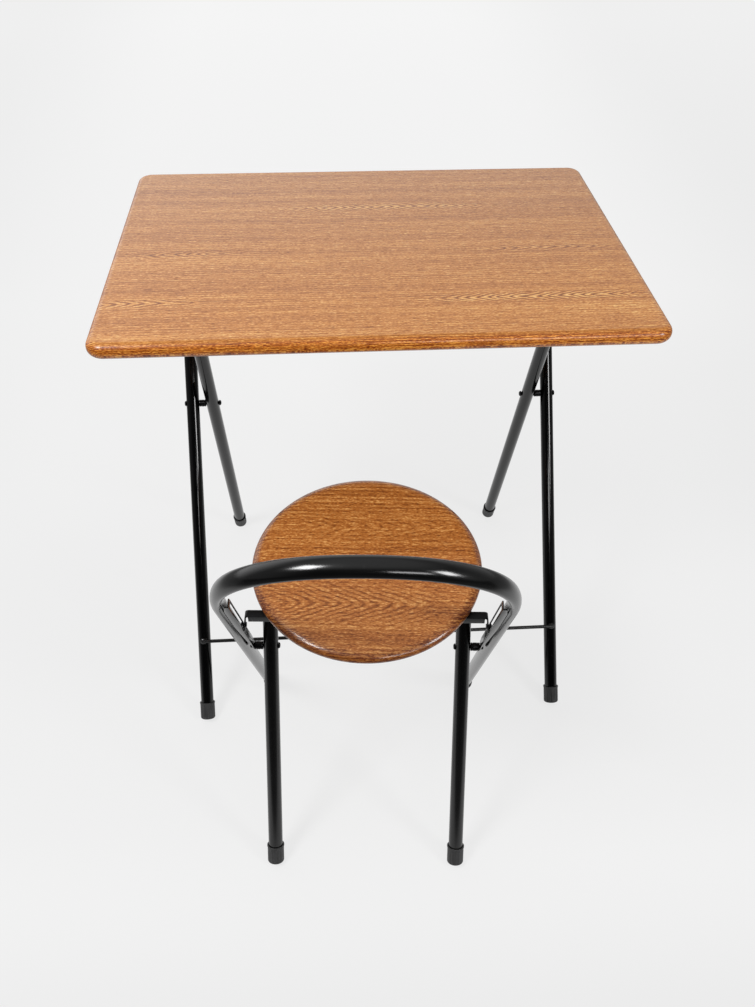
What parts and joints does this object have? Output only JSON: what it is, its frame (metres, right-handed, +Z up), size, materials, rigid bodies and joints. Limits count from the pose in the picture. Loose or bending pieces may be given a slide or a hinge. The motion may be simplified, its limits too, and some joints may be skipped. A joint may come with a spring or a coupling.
{
  "type": "folding table and chair set",
  "caption": "Folding table with a rectangular wood-grain top on crossed tube legs, and a folding chair with a round wood-grain seat and a hoop back.",
  "frame": {"origin": "on the floor, under the middle of the set's bounding box", "axes": "+Z up, X along the long side of the tabletop, +Y from the chair towards the far side of the table"},
  "size_m": [0.8, 0.9973, 0.75],
  "materials": {
    "table_wood": "satin wood-grain board",
    "seat_wood": "satin wood-grain board",
    "black_paint": "gloss black coat on steel",
    "black_hardware": "blackened steel",
    "rubber": "matt",
    "zinc": "zinc plated",
    "catch_plastic": "matt"
  },
  "bodies": {
    "outer_frame": {"table_outer_frame": "black_paint", "table_stretcher_rod": "black_paint", "table_front_foot_left": "rubber", "table_front_foot_right": "rubber", "table_pivot_bolt_left": "black_hardware", "table_pivot_bolt_right": "black_hardware", "table_pivot_nut_left": "black_hardware", "table_pivot_nut_right": "black_hardware", "table_pivot_spacer_left": "black_hardware", "table_pivot_spacer_right": "black_hardware"},
    "inner_frame": {"table_inner_frame": "black_paint", "table_rear_foot_left": "rubber", "table_rear_foot_right": "rubber"},
    "tabletop": {"table_top": "table_wood", "table_saddle_left": "black_paint", "table_saddle_right": "black_paint", "table_catch_left": "catch_plastic", "table_catch_right": "catch_plastic", "table_saddle_left_screw_front": "zinc", "table_catch_left_screw_front": "zinc", "table_saddle_left_screw_rear": "zinc", "table_catch_left_screw_rear": "zinc", "table_saddle_right_screw_front": "zinc", "table_catch_right_screw_front": "zinc", "table_saddle_right_screw_rear": "zinc", "table_catch_right_screw_rear": "zinc"},
    "chair_back": {"chair_back_frame": "black_paint", "chair_front_foot_left": "rubber", "chair_front_foot_right": "rubber", "chair_guide_rail_left": "black_paint", "chair_guide_rail_right": "black_paint", "chair_pivot_bolt_left": "black_hardware", "chair_pivot_bolt_right": "black_hardware", "chair_pivot_nut_left": "black_hardware", "chair_pivot_nut_right": "black_hardware", "chair_pivot_spacer_left": "black_hardware", "chair_pivot_spacer_right": "black_hardware"},
    "chair_legs": {"chair_leg_frame": "black_paint", "chair_rear_foot_left": "rubber", "chair_rear_foot_right": "rubber"},
    "seat": {"chair_seat": "seat_wood", "chair_seat_strap": "black_paint", "chair_guide_pin_left": "black_hardware", "chair_guide_pin_right": "black_hardware", "chair_saddle_left": "black_paint", "chair_saddle_right": "black_paint", "chair_saddle_left_screw_front": "zinc", "chair_saddle_left_screw_rear": "zinc", "chair_strap_screw_left": "zinc", "chair_saddle_right_screw_front": "zinc", "chair_saddle_right_screw_rear": "zinc", "chair_strap_screw_right": "zinc"}
  },
  "joints": [
    {"name": "table_fold", "type": "hinge", "parent": "outer_frame", "child": "inner_frame", "pos_m": [0, 0.18161, 0.4641], "axis": [-1, 0, 0], "range_deg": [0, 57.5]},
    {"name": "top_fold", "type": "hinge", "parent": "inner_frame", "child": "tabletop", "pos_m": [0, 0.0706, 0.713], "axis": [-1, 0, 0], "range_deg": [-114.2, 0]},
    {"name": "chair_pull", "type": "slide", "parent": "outer_frame", "child": "chair_back", "axis": [-0.068, -0.9977, 0], "range_m": [0, 0.5]},
    {"name": "chair_fold", "type": "hinge", "parent": "chair_back", "child": "chair_legs", "pos_m": [-0.034, -0.2794, 0.3385], "axis": [0.9977, -0.068, 0], "range_deg": [0, 52]},
    {"name": "seat_fold", "type": "hinge", "parent": "chair_legs", "child": "seat", "pos_m": [-0.03024, -0.22429, 0.45805], "axis": [0.9977, -0.068, 0], "range_deg": [-115.7, 0]}
  ],
  "couplings": [
    {"joint": "top_fold", "follows": "table_fold", "ratio": -1.983},
    {"joint": "seat_fold", "follows": "chair_fold", "ratio": -2.2225}
  ]
}
